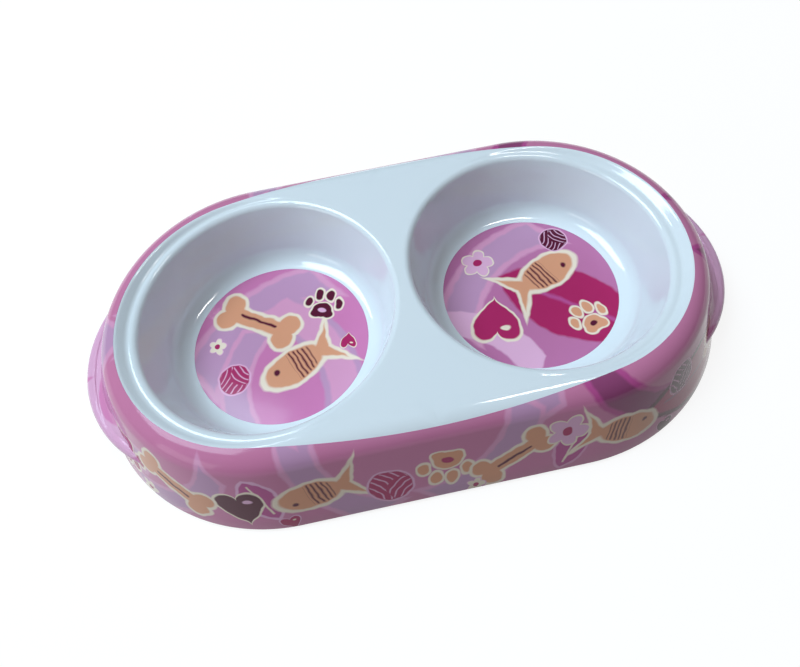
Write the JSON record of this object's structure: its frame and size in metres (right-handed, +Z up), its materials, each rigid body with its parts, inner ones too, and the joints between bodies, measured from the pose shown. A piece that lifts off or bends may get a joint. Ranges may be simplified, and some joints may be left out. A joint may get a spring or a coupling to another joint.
{
  "type": "double pet bowl",
  "caption": "Low oval pet feeding dish: round bowls side by side in a glossy deck, set into a flared printed skirt with finger grips at the short ends and rubber feet below.",
  "frame": {"origin": "under the middle of the deck, on the plane that the feet stand on", "axes": "+X along the pair of bowls to the right, +Y to the rear, +Z up"},
  "size_m": [0.2942, 0.168, 0.04],
  "materials": {
    "white_melamine": "glossy white melamine",
    "pink_melamine": "glossy pink melamine",
    "skirt_print": "glossy printed melamine foil",
    "floor_print": "glossy printed melamine foil",
    "foot_rubber": "matt"
  },
  "bodies": {
    "root": {"bowl_liner": "white_melamine", "outer_skirt": "pink_melamine", "front_skirt_foil": "skirt_print", "rear_skirt_foil": "skirt_print", "left_grip_foil": "skirt_print", "right_grip_foil": "skirt_print", "left_floor_foil": "floor_print", "right_floor_foil": "floor_print", "foot_front_left": "foot_rubber", "foot_front_right": "foot_rubber", "foot_rear_left": "foot_rubber", "foot_rear_right": "foot_rubber"}
  },
  "joints": []
}
